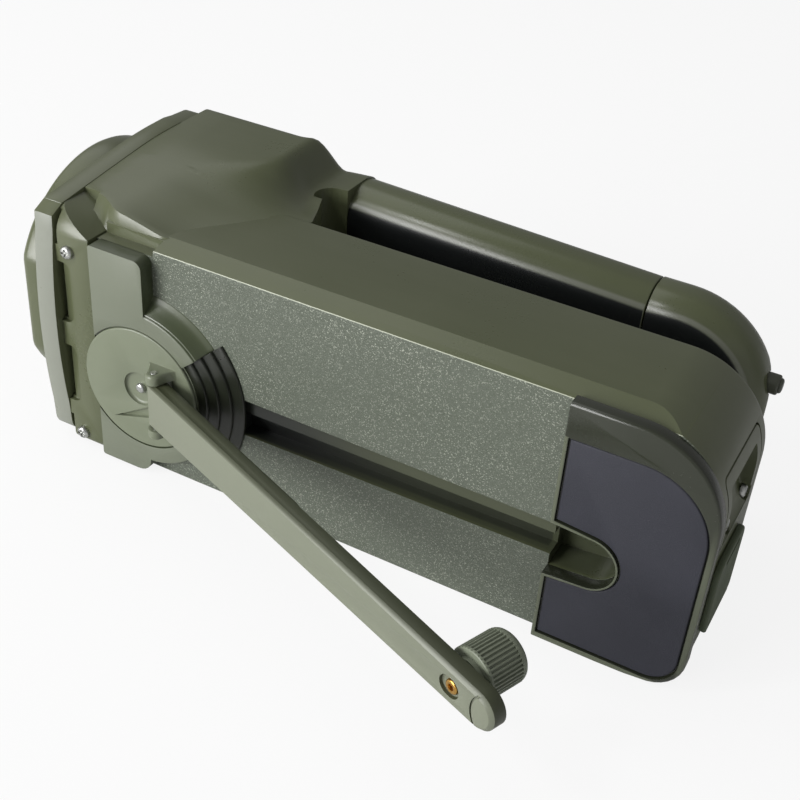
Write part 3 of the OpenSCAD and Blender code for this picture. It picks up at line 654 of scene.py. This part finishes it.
collarSide = (arc(-30.5, 6, 4, 180, 270, 4) + arc(66, 16, 14, 270, 360, 7)
              + arc(74, archTop(74) - 6, 6, 0, 90, 6) + [(y, archTop(y)) for y in range(70, -20, -5)]
              + arc(-22.5, archTop(-22.5) - 12, 12, 95, 180, 8))
headShell = plate("headShell", collarSide, "yz", *head["collar"])
ledge = [(-23, 109.8), (-42.6, 120), (-42.6, 126), (-10, 126), (-10, 109.8)]
cut(headShell, plate("ledgeTool", ledge, "xz", -50, -13))
along = (-34, -30, -26, -23, -20, -17, -14, -10, -6, -2) + tuple(range(1, 42, 2)) + (44,)
hood = loftPlanes("hood", "yz", [(x, hoodSection(x)) for x in along])
box = loftPlanes("box", "yz", [(x, boxSection(x)) for x in along + (head["boxEnd"],) if x > -28])
join(headShell, hood, box)
# the finger gap's front end, slanting from the bar to the handle
gapSide = [(46.5, 27.5), (36, 53)] + arc(38.5, 58, 8.5, 215, 90, 8) + [(80, 66.5), (80, 27.5)]
cut(headShell, plate("gapTool", gapSide, "xy", -10, 160))
cut(headShell, plate("endTool", [(41.5, 64), (60, 64), (60, 110), (41.5, 110)], "xy", -10, 160))
# two pockets in the strip, with a dark slot behind the flange and a rib between them
for low, high in head["pocketZ"]:
    pocket = roundRect(-46, low, -35.5, high, [0.3, 4, 4, 0.3], 5)
    slot = roundRect(-46, low + 1, -40.2, high - 1, 0.4, 3)
    cut(headShell, plate("pocketTool", pocket, "xz", -40, -32.6))
    cut(headShell, plate("slotTool", slot, "xz", -40, -27))
for z0, z1, y in ((104, 122, -29), (1, 16, -30)):
    cut(headShell, plate("cornerTool", [(-46, z0), (-40.8, z0), (-40.8, z1), (-46, z1)], "xz", -40, y))
soften(headShell, 0.7, 2, 34)
finishPiece(headShell, "bodyGreen", "lamp", ["head_shell"])
print("head", len(headShell.data.polygons))

# gear cover: slab with a rounded edge, round bulge with a sloping skirt above and the seat of the hub
cover = {"x0": -23.4, "x1": 4, "low": 1.5, "top": 109.8, "out": -36, "bulge": 38.5, "turn": 40, "edge": 5.5,
         "skirt": ((-35.6, 37.5), (-35, 38.9), (-33, 40.2), (-31, 41.8), (-29.6, 43.4), (-28.9, 44.6),
                   (-28.2, 45.5)), "seat": 30.1, "bossRoom": 23.5, "bore": 9,
         "rings": ((34.5, -34.4), (39.5, -33), (45, -31.4), (50.5, -29.8))}
foot = bar["near"] + 0.3
slope = math.tan(math.radians(cover["turn"]))


# a sector of the crank side, from the hub's axis out to two heights
def sector(name, low, high, x=70):
    return plate(name, [(0, hub["z"]), (x, hub["z"] + high), (x, hub["z"] + low)], "xz", -60, -20)


slab = roundRect(cover["x0"], cover["low"], cover["x1"], cover["top"], [1.2, 7, 4, 1.2], 6)
gearCover = plate("gearCover", slab, "xz", cover["out"], foot)
edgeRound(gearCover, lambda p: p.y < cover["out"] + 0.05 and p.x > cover["x1"] - 7.1
          and (p.x > cover["x1"] - 0.05 or p.z < 30), cover["edge"], 6)
bulge = hubDisc("bulge", cover["bulge"], cover["out"], foot, 128)
edgeRound(bulge, lambda p: p.y < cover["out"] + 0.05, 1.2, 3)
skirt = loftPlanes("skirt", "xz", [(y, arc(0, hub["z"], r, 0, 357, 119)) for y, r in cover["skirt"]])
upper = [(0, hub["z"]), (90, hub["z"] + 90 * slope), (90, 200), (0, 200)]
cut(skirt, plate("upper", upper, "xz", -60, -20), "INTERSECT")
join(gearCover, bulge, skirt)
mouth = sector("mouth", -62, 70 * slope)
cut(mouth, hubDisc("inside", cover["seat"], -70, -10, 128))
cut(gearCover, mouth)
keep = [(cover["x0"], 0.5), (60, 0.5), (60, 120), (cover["x0"], 120)]
cut(gearCover, plate("keep", keep, "xz", -60, -20), "INTERSECT")
cut(gearCover, hubDisc("seat", cover["seat"], -40, -34.7, 128))
cut(gearCover, hubDisc("seat", cover["bossRoom"], -40, -30.5))
cut(gearCover, hubDisc("bore", cover["bore"], -40, -20))
soften(gearCover, 0.5, 2)
finishPiece(gearCover, "coverGreen", "lamp", ["gear_cover"])
# dark stepped rings beside the bulge, where the arm comes out
coverRings, *steps = [hubDisc("coverRings", r, y, foot, 128) for r, y in cover["rings"]]
for step in [coverRings] + steps:
    edgeRound(step, lambda p: p.y < -29.2, 0.7, 3)
join(coverRings, *steps)
cut(coverRings, sector("lower", -61.6, 70 * slope - 0.4), "INTERSECT")
cut(coverRings, hubDisc("inside", cover["seat"], -60, -20))
soften(coverRings, 0.3, 2)
finishPiece(coverRings, "ringGreen", "lamp", [])
print("cover", len(gearCover.data.polygons))

# crank hub: flush disc with a dished middle, a slot for the arm's root and two low ears for the fold pin
crank = {"r": 29.5, "face": -36.2, "rim": -35.2, "boss": 23, "floor": -31, "shaft": 6, "shaftEnd": -6.3,
         "pin": (13, -42), "pinR": 1.48, "pinHole": 1.5, "pinHalf": 16.9, "ear": (12, 16.6), "earRound": 3.6,
         "clear": 7.5, "dish": 8.2}
crankHub = hubDisc("crankHub", crank["r"], crank["face"], crank["rim"], 144)
edgeRound(crankHub, lambda p: p.y < crank["face"] + 0.05, 0.7, 3)
join(crankHub, hubDisc("boss", crank["boss"], crank["rim"] - 0.5, crank["floor"]),
     hubDisc("shaft", crank["shaft"], crank["floor"] - 0.5, crank["shaftEnd"], 48))
pinX, pinY = crank["pin"]


# round about the fold pin's axis, as far above the hub's middle as below it
def pinDisc(name, r, half):
    return plate(name, arc(pinX, pinY, r, 0, 345, 23), "xy", hub["z"] - half, hub["z"] + half)


earSide = ([(pinX - 7.5, -35.6), (pinX - 5.4, -37.6)] + arc(pinX, pinY, crank["earRound"], 190, 350, 12)
           + [(pinX + 5.4, -37.6), (pinX + 7.5, -35.6)])
for way in (-1, 1):
    inside, outside = (hub["z"] + way * v for v in crank["ear"])
    ear = plate("ear", earSide, "xy", min(inside, outside), max(inside, outside))
    edgeRound(ear, lambda p: abs(p.z - outside) < 0.05 and p.y < -35.7, 1.8, 4)
    cut(crankHub, ear, "UNION")
cut(crankHub, pinDisc("rootTool", crank["clear"], crank["ear"][0]))
dish = hubDisc("dish", crank["dish"], -40, -34.6, 64)
edgeRound(dish, lambda p: p.y > -34.7, 1.5, 4)
cut(crankHub, dish)
cut(crankHub, plate("wedge", [(-15, 26.6), (6.2, 33.2), (6.2, 39.5)], "xz", -40, -34.4))
cut(crankHub, pinDisc("pinTool", crank["pinHole"], 30))
soften(crankHub, 0.35, 2)
finishPiece(crankHub, "hubGreen", "crank", ["crank_hub"])
foldPin = pinDisc("foldPin", crank["pinR"], crank["pinHalf"])
edgeRound(foldPin, lambda p: True, 0.4, 2)
soften(foldPin, 0)
finishPiece(foldPin, "steel", "crank", ["fold_pin"])
print("hub", len(crankHub.data.polygons))

# arm: drawn along X from its fold pin, then swung out to its place
arm = {"l": 195, "tip": 207.5, "rootHalf": 11.5, "tipHalf": 8, "outer": -2.6, "inner": 4.1, "rootPast": 3,
       "layer": 1.3, "layerEnd": 0.56, "layerInset": 1.2, "layerTaper": (14, 0.62), "swing": -22, "well": 4.3,
       "cap": (8.5, 11.2, 10.4)}


# round about the knob's axis
def tipDisc(name, r, a, b, n=48):
    return disc(name, "xz", arm["l"], 0, r, a, b, n)


def poseArm(o):
    only(o)
    o.rotation_euler[2] = math.radians(arm["swing"])
    o.location = Vector((pinX, pinY, hub["z"])) * mm
    bpy.ops.object.transform_apply(location=True, rotation=True, scale=False)


def armHalf(x):
    share = (x + arm["rootPast"]) / (arm["tip"] + arm["rootPast"])
    return arm["rootHalf"] + (arm["tipHalf"] - arm["rootHalf"]) * share


root, tip, layerTip = -arm["rootPast"], arm["tip"], arm["l"] * arm["layerEnd"]
armSide = [(root, -armHalf(root))] + arc(tip, 0, armHalf(tip), -88, 88, 18) + [(root, armHalf(root))]
crankArm = plate("crankArm", armSide, "xz", arm["outer"], arm["inner"])
edgeRound(crankArm, lambda p: p.y < arm["outer"] + 0.05, 1.5, 1)
# stiffening layer on the inner side, with cut corners at its end
taperLong, taperShare = arm["layerTaper"]
layerHalf = [(x, (armHalf(x) - arm["layerInset"]) * share)
             for x, share in ((root, 1), (layerTip - taperLong, 1), (layerTip, taperShare))]
layerSide = [(x, -half) for x, half in layerHalf] + [(x, half) for x, half in reversed(layerHalf)]
layer = plate("layer", layerSide, "xz", arm["inner"] - 0.5, arm["inner"] + arm["layer"])
join(crankArm, layer, tipDisc("boss", 6, arm["inner"] - 0.5, arm["inner"] + 1))
nub = disc("nub", "xz", arm["tip"] + 3, 0, 2.5, arm["inner"] - 0.5, arm["inner"] + 2.2, 32)
edgeRound(nub, lambda p: p.y > arm["inner"] + 2.1, 0.8, 3)
cut(crankArm, nub, "UNION")
cut(crankArm, plate("pinTool", arc(0, 0, 1.55, 0, 345, 23), "xy", -40, 40))
cut(crankArm, tipDisc("axle", 2.5, -10, 20, 32))
wellSide = arc(arm["l"], 0, arm["well"], -90, 90, 14) + arc(arm["l"] - 1.2, 0, arm["well"], 90, 270, 14)
well = plate("well", wellSide, "xz", -8, arm["outer"] + 1.6)
edgeRound(well, lambda p: p.y > arm["outer"] + 1.5, 0.7, 2)
cut(crankArm, well)
# shallow arched line round the arm's end
capPast, capOuter, capInner = arm["cap"]
capOut = disc("capOut", "xz", tip + capPast, 0, capOuter, -8, arm["outer"] + 0.7, 64)
capIn = disc("capIn", "xz", tip + capPast, 0, capInner, -9, arm["outer"] + 2, 64)
cut(capOut, capIn)
cut(crankArm, capOut)
soften(crankArm, 0.45, 2)
poseArm(crankArm)
finishPiece(crankArm, "armGreen", "arm", ["crank_arm"])

# brass screw that the knob turns on, its head in the arm's well
knobScrew = tipDisc("knobScrew", 3.0, arm["outer"] + 0.2, arm["outer"] + 1.6)
edgeRound(knobScrew, lambda p: p.y < arm["outer"] + 0.25, 0.8, 3)
join(knobScrew, tipDisc("axle", 2.48, arm["outer"] + 1, arm["inner"] + 20.6, 32),
     tipDisc("stop", 4.5, arm["inner"] + 19, arm["inner"] + 20.6))
cut(knobScrew, tipDisc("socket", 1.5, -10, arm["outer"] + 3, 6))
soften(knobScrew, 0.2, 2)
poseArm(knobScrew)
finishPiece(knobScrew, "brass", "arm", ["knob_screw"])

# knob: fluted grip on a narrow neck, its end rounded over
knob = {"r": 10.5, "flutes": 40, "deep": 0.75, "neck": (1.3, 3.4), "neckR": 7, "grip": (3.2, 21), "bore": 2.56}
gripLow, gripEnd = (arm["inner"] + v for v in knob["grip"])
neckLow, neckEnd = (arm["inner"] + v for v in knob["neck"])
grip = []
for k in range(knob["flutes"]):
    for at, deep in ((0.0, 0), (0.3, 0), (0.5, knob["deep"]), (0.8, knob["deep"])):
        a, r = math.radians(360 * (k + at) / knob["flutes"]), knob["r"] - deep
        grip.append((arm["l"] + r * math.cos(a), r * math.sin(a)))
crankKnob = plate("crankKnob", grip, "xz", gripLow, gripEnd - 2.5)
top = tipDisc("top", knob["r"] - 0.1, gripEnd - 3.4, gripEnd, 96)
edgeRound(top, lambda p: p.y > gripEnd - 0.1, 2.6, 5)
base = tipDisc("base", knob["r"] - 0.1, gripLow - 0.2, gripLow + 1, 96)
edgeRound(base, lambda p: p.y < gripLow, 0.7, 3)
join(crankKnob, top, base, tipDisc("neck", knob["neckR"], neckLow, neckEnd))
cut(crankKnob, tipDisc("bore", knob["bore"], -10, 60, 32))
cut(crankKnob, tipDisc("stopRoom", 5, arm["inner"] + 18.4, 60))
soften(crankKnob, 0)
poseArm(crankKnob)
finishPiece(crankKnob, "knobGreen", "knob", ["crank_knob"])
print("arm and knob", len(crankArm.data.polygons), len(crankKnob.data.polygons))

# handle bar, a little higher at its front end, and the loop that brings it down behind the tail
grab = {"y0": 67, "y1": 96, "low": 57, "top": 107, "round": 13, "x0": 34, "rise": 5.2, "split": 186,
        "gap": 0.35, "rear": 243.5, "loopRound": 44, "inner": 214.5, "innerRound": 22, "loopEdge": 12.5,
        "planRound": 24}
handleBar = loftPlanes("handleBar", "yz", [
    (x, roundRect(grab["y0"], grab["low"] + up, grab["y1"], grab["top"] + up, grab["round"], 10))
    for x, up in ((grab["x0"], grab["rise"]), (grab["split"] - grab["gap"], 0))])
soften(handleBar, 0.6, 3)
finishPiece(handleBar, "gripGreen", "lamp", ["handle_bar"])


# the loop: rounded sections from the handle's end round the bend and down, between an inner and an outer line
def loopRing(inside, outside):
    (a, b), (c, d) = inside, outside
    span = math.dist(inside, outside)
    pts = roundRect(0, grab["y0"], span, grab["y1"], grab["loopEdge"], 9)
    return [Vector((a + (c - a) * u / span, y, b + (d - b) * u / span)) * mm for u, y in pts]


loopFront = grab["split"] + grab["gap"]


def loopLine(x, z, r, straight):
    return [(loopFront, z)] + arc(x - r, z - r, r, 90, 0, 18) + [(x, straight), (x, 0)]


outerLine = loopLine(grab["rear"], grab["top"], grab["loopRound"], 30)
innerLine = loopLine(grab["inner"], grab["low"], grab["innerRound"], 20)
tailLoop = loft("tailLoop", [loopRing(a, b) for a, b in zip(innerLine, outerLine)])
bridge = roundRect(229, 0, grab["rear"], grab["low"], [3, 8, 8, 3], 6)
cut(tailLoop, plate("bridge", bridge, "xz", 28.3, 72), "UNION")
r = grab["planRound"]
planSide = ([(loopFront, 20), (grab["rear"], 20)] + arc(grab["rear"] - r, grab["y1"] - r, r, 0, 90, 14)
            + [(loopFront, grab["y1"])])
cut(tailLoop, plate("planTool", planSide, "xy", -5, 120), "INTERSECT")
# the power button's place and sizes, for its hole here and its cap below
button = {"y": 81.5, "z": 76, "r": 4.5, "hole": 4.8, "back": 237.5, "face": 245.3, "nub": 3.4, "top": 246.7}
buttonHole = arc(button["y"], button["z"], button["hole"], 0, 354, 59)
cut(tailLoop, plate("buttonTool", buttonHole, "yz", 226, 260))
soften(tailLoop, 0.6, 2)
finishPiece(tailLoop, "gripGreen", "lamp", ["tail_loop"])
print("handle", len(tailLoop.data.polygons))


# round about the button's axis
def buttonDisc(name, r, a, b, n):
    return disc(name, "yz", button["y"], button["z"], r, a, b, n)


# power button: domed rubber cap with a smaller raised top
powerButton = buttonDisc("powerButton", button["r"], button["back"], button["face"], 64)
edgeRound(powerButton, lambda p: p.x > button["face"] - 0.1, 0.9, 4)
nub = buttonDisc("nub", button["nub"], button["face"] - 0.8, button["top"], 48)
edgeRound(nub, lambda p: p.x > button["top"] - 0.1, 1.2, 4)
join(powerButton, nub)
soften(powerButton, 0)
finishPiece(powerButton, "darkGreen", "button", ["power_button"])


# round about the charging port's axis
def portDisc(name, r, a, b, n=48):
    return disc(name, "yz", port["y"], port["z"], r, a, b, n)


# contacts of the charging port: a sleeve round a pin
sleeveOut, sleeveIn = port["sleeve"]
portContact = portDisc("portContact", sleeveOut, port["back"], port["front"])
cut(portContact, portDisc("bore", sleeveIn, port["back"] + 1, port["front"] + 1))
join(portContact, portDisc("pin", port["pin"], port["back"], port["front"] - 1, 24))
soften(portContact, 0.2, 2)
finishPiece(portContact, "steel", "lamp", [])

# port flap: soft rubber leaf with a rolled hinge, and a groove that leaves a lip to pull
flap = {"y0": -21, "y1": 13, "low": 22, "top": 56, "x0": 253.3, "x1": 255.8, "roll": (254.55, 1.25),
        "lipX": 254.6}
leaf = roundRect(flap["y0"], flap["low"], flap["y1"], flap["top"], [3, 3, 6, 6], 6)
portFlap = plate("portFlap", leaf, "yz", flap["x0"], flap["x1"])
edgeRound(portFlap, lambda p: p.x > flap["x1"] - 0.05, 1.1, 4)
rollX, rollR = flap["roll"]
roll = plate("roll", arc(rollX, flap["low"], rollR, 0, 350, 35), "xz", flap["y0"] + 3, flap["y1"] - 3)
join(portFlap, roll)
lipSide = roundRect(flap["y0"] + 8, flap["top"] - 4.5, flap["y1"] - 8, flap["top"] - 2.2, 1, 4)
lip = plate("lip", lipSide, "yz", flap["lipX"], 260)
edgeRound(lip, lambda p: p.x < flap["lipX"] + 0.1, 0.5, 2)
cut(portFlap, lip)
soften(portFlap, 0.25, 2)
finishPiece(portFlap, "greenRubber", "flap", ["port_flap"])


# pan head screw, modelled once and set in every place
def panHead(name, spot, plane):
    o = bpy.data.objects.new(name, pan.data.copy())
    bpy.context.collection.objects.link(o)
    only(o)
    o.rotation_euler = (0, 0, math.radians(90) if plane == "x" else 0)
    o.location = Vector(spot) * mm
    bpy.ops.object.transform_apply(location=True, rotation=True, scale=False)
    return o


screw = {"head": 3, "high": 2.2, "shank": 1.48, "long": 5.5, "slot": 0.9, "cross": (0.45, 2.0)}
pan = disc("pan", "xz", 0, 0, screw["head"], -screw["high"], 0, 48)
edgeRound(pan, lambda p: p.y < -screw["high"] + 0.05, 1.5, 5)
join(pan, disc("shank", "xz", 0, 0, screw["shank"], -0.5, screw["long"], 24))
for w, h in (screw["cross"], screw["cross"][::-1]):
    cross = [(-w, -h), (w, -h), (w, h), (-w, h)]
    cut(pan, plate("crossTool", cross, "xz", -6, -screw["high"] + screw["slot"]))
soften(pan, 0.12, 1)


def gather(first, *more):
    clearPick()
    for o in (first,) + more:
        o.select_set(True)
    bpy.context.view_layer.objects.active = first
    bpy.ops.object.join()
    return first


headSpots = [(-35.5, -34.5, z) for z in (102, 8)]
headScrews = gather(panHead("headScrews", headSpots[0], "y"), panHead("second", headSpots[1], "y"))
finishPiece(headScrews, "steel", "lamp", ["head_screws"])
doorSpots = [(door["screwX"], y, door["screwZ"]) for y in door["screwY"]]
doorScrews = gather(panHead("doorScrews", doorSpots[0], "x"), panHead("second", doorSpots[1], "x"))
finishPiece(doorScrews, "steel", "lamp", ["door_screws"])
hubHead = {"r": 2.4, "face": -36.4, "back": -32, "dome": 1.3}
hubScrew = hubDisc("hubScrew", hubHead["r"], hubHead["face"], hubHead["back"], 48)
edgeRound(hubScrew, lambda p: p.y < hubHead["face"] + 0.1, hubHead["dome"], 5)
soften(hubScrew, 0)
finishPiece(hubScrew, "steel", "crank", ["hub_screw"])
drop(pan)
print("screws")

# lens with a slightly domed face
lens = {"r": 50, "face": -59, "back": -55, "dome": 1.6}
lensPlate = lensDisc("lensPlate", lens["r"], lens["face"], lens["back"], 128)
edgeRound(lensPlate, lambda p: p.x < lens["face"] + 0.1, lens["dome"], 4)
soften(lensPlate, 0)
finishPiece(lensPlate, "clearLens", "lamp", ["lens"])

# camera: solved from the photograph's long straight edges
camera = {"place": (301.4, -395.9, 370.6), "right": (0.8758, 0.4781, 0.0658),
          "down": (0.3226, -0.4787, -0.8165), "ahead": (-0.3589, 0.7364, -0.5735), "lens": 57.81}
cam = bpy.data.cameras.new("camera")
camObj = bpy.data.objects.new("camera", cam)
bpy.context.collection.objects.link(camObj)
cam.sensor_width, cam.lens, cam.clip_start = 36, camera["lens"], 0.01
m = Matrix.Identity(4)
for i in range(3):
    m[i] = (camera["right"][i], -camera["down"][i], -camera["ahead"][i], camera["place"][i] * mm)
camObj.matrix_world = m
bpy.context.scene.camera = camObj

# studio: a pale floor and four soft lights, at the front, at the tail, above and for the upper edges
studio = {"lights": {"key": (52, 1.2, (-0.9, -1.6, 0.5)), "fill": (1.5, 1.6, (1.6, -0.8, 0.6)),
                     "top": (2.6, 0.9, (-0.55, 0.25, 0.95)), "edge": (4.5, 0.28, (-0.62, -0.8, 1.2))},
          "aim": (0.1, 0, 0.05), "world": 0.3, "floorGlow": 0.86}
for name, (power, size, at) in studio["lights"].items():
    lamp = bpy.data.lights.new(name, "AREA")
    lamp.energy, lamp.size = power, size
    lampObj = bpy.data.objects.new(name, lamp)
    bpy.context.collection.objects.link(lampObj)
    lampObj.location = at
    lampObj.rotation_euler = (Vector(at) - Vector(studio["aim"])).to_track_quat("Z", "Y").to_euler()
world = bpy.data.worlds.new("studio")
bpy.context.scene.world = world
world.use_nodes = True
tree = world.node_tree
tree.nodes.clear()
path = tree.nodes.new("ShaderNodeLightPath")
ground = tree.nodes.new("ShaderNodeBackground")
sky = tree.nodes.new("ShaderNodeBackground")
pick = tree.nodes.new("ShaderNodeMixShader")
done = tree.nodes.new("ShaderNodeOutputWorld")
ground.inputs[0].default_value, ground.inputs[1].default_value = (1, 1, 1, 1), studio["world"]
sky.inputs[0].default_value, sky.inputs[1].default_value = (1, 1, 1, 1), 1.0
seen = tree.nodes.new("ShaderNodeMath")
seen.operation = "MAXIMUM"
tree.links.new(path.outputs["Is Camera Ray"], seen.inputs[0])
tree.links.new(path.outputs["Is Transmission Ray"], seen.inputs[1])
tree.links.new(seen.outputs[0], pick.inputs[0])
tree.links.new(ground.outputs[0], pick.inputs[1])
tree.links.new(sky.outputs[0], pick.inputs[2])
tree.links.new(pick.outputs[0], done.inputs[0])

bpy.ops.object.select_all(action="DESELECT")
bpy.ops.mesh.primitive_plane_add(size=6, location=(0, 0, 0))
floor = bpy.context.object
floor.name = "floor"
net = Net("floorWhite")
diffuse = net.add("ShaderNodeBsdfDiffuse", None, {"Color": (0.8, 0.8, 0.8, 1)})
glow = net.add("ShaderNodeEmission", None, {"Color": (1, 1, 1, 1), "Strength": 1.0})
rays = net.tree.nodes.new("ShaderNodeLightPath")
camRay = Sock(net, rays.outputs["Is Camera Ray"])
blend = net.tree.nodes.new("ShaderNodeMixShader")
net.tree.links.new((camRay * studio["floorGlow"]).out, blend.inputs[0])
net.tree.links.new(diffuse.out, blend.inputs[1])
net.tree.links.new(glow.out, blend.inputs[2])
net.tree.links.new(blend.outputs[0], net.end.inputs[0])
floor.data.materials.append(net.mat)
bpy.context.scene.view_settings.view_transform = "Standard"
